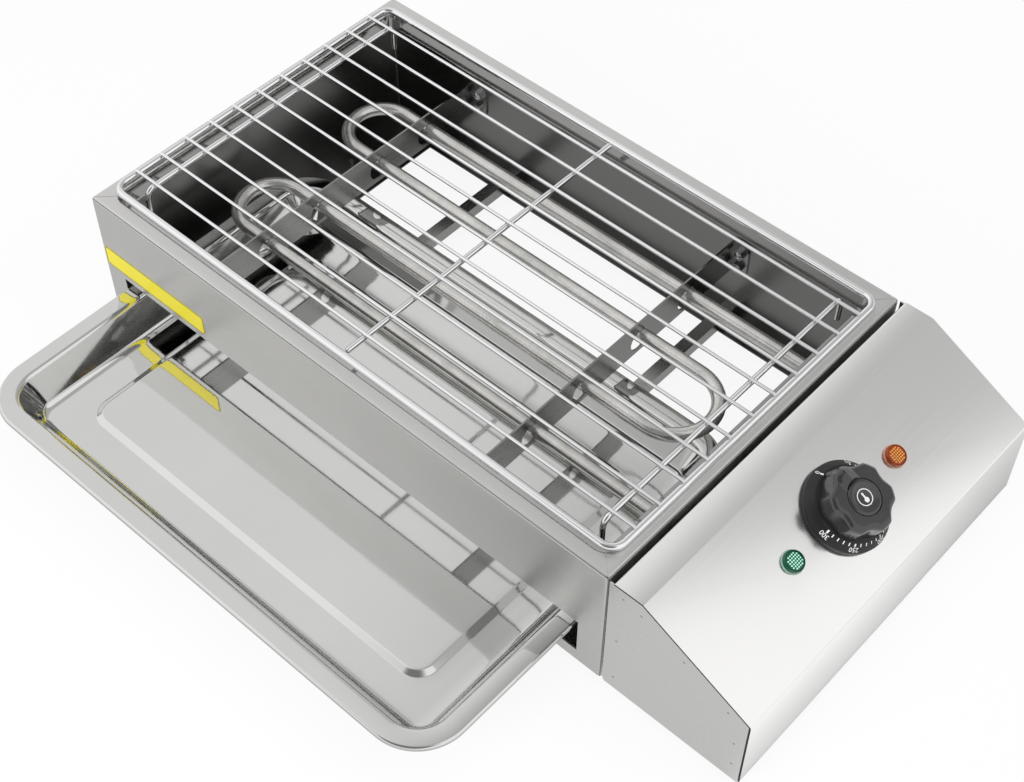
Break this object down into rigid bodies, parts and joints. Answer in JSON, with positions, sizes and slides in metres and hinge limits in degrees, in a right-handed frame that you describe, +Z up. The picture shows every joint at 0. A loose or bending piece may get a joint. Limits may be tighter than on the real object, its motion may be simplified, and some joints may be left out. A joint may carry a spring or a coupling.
{
  "type": "electric table roaster",
  "caption": "Open sheet steel fire box with a tubular heating element, lift-off wire grate, pull-out water tray and sloping control box with a dial and two lamps.",
  "frame": {"origin": "middle of the box round the part at rest, tray pulled part way out, at the soles of the feet", "axes": "+X along the fire box towards the control box, +Y towards the back, +Z up; the tray pulls out towards -Y"},
  "size_m": [0.5426, 0.42, 0.1224],
  "materials": {
    "fire_box": "brushed stainless, satin",
    "inner_steel": "bright rolled stainless",
    "control_panels": "brushed stainless, satin",
    "blades": "polished stainless",
    "grate_chrome": "bright chrome plate on wire",
    "tray_steel": "mirror polished stainless",
    "element_sheath": "matt olive grey sheath",
    "zinc": "zinc plated",
    "brass": "turned brass",
    "copper": "drawn copper",
    "ceramic": "glazed",
    "label_film": "printed film, plain yellow",
    "knob_plastic": "black, fine satin",
    "scale_plastic": "black, satin, white marks",
    "lamp_green": "dark green translucent rim",
    "lens_green": "green lattice lens",
    "lamp_amber": "brown orange translucent rim",
    "lens_amber": "amber lattice lens",
    "nylon": "natural nylon",
    "insulation": "silicone sleeve",
    "gland_plastic": "black nylon",
    "foot_rubber": "black rubber"
  },
  "bodies": {
    "root": {"housing_shell": "fire_box", "rail_left": "inner_steel", "rail_right": "inner_steel", "support_left": "blades", "support_right": "blades", "support_studs": "zinc", "support_nuts": "zinc", "heating_element": "element_sheath", "element_bushings": "brass", "element_nuts": "brass", "terminal_insulators": "ceramic", "terminal_studs": "zinc", "water_label": "label_film", "control_cover": "control_panels", "control_side_front": "control_panels", "control_side_back": "control_panels", "control_back_plate": "inner_steel", "control_base": "inner_steel", "box_spacers": "zinc", "box_screws": "zinc", "box_nuts": "zinc", "base_screws": "zinc", "thermostat_body": "zinc", "thermostat_screws": "zinc", "dial_scale": "scale_plastic", "capillary_tube": "copper", "sensing_bulb": "copper", "bulb_clips": "inner_steel", "terminal_block": "ceramic", "block_screws": "zinc", "wiring": "insulation", "lamp_green_bezel": "lamp_green", "lamp_green_lens": "lens_green", "lamp_amber_bezel": "lamp_amber", "lamp_amber_lens": "lens_amber", "lamp_bodies": "nylon", "lamp_nuts": "zinc", "earth_stud": "zinc", "earth_nuts": "brass", "cable_gland": "gland_plastic", "gland_nut": "gland_plastic", "feet": "foot_rubber", "foot_screws": "zinc"},
    "grate": {"grate_frame": "grate_chrome", "grate_wires": "grate_chrome", "grate_cross_rods": "grate_chrome"},
    "tray": {"drip_tray": "tray_steel"},
    "knob": {"knob_grip": "knob_plastic", "knob_cap": "knob_plastic", "thermostat_shaft": "zinc"}
  },
  "joints": [
    {"name": "tray_slide", "type": "slide", "parent": "root", "child": "tray", "axis": [0, -1, 0], "range_m": [-0.112, 0.128]},
    {"name": "grate_lift", "type": "slide", "parent": "root", "child": "grate", "axis": [0, 0, 1], "range_m": [0, 0.06]},
    {"name": "knob_turn", "type": "hinge", "parent": "root", "child": "knob", "pos_m": [0.23017, 0.0569, 0.09301], "axis": [-0.4554, 0, -0.8903], "range_deg": [0, 275]}
  ]
}
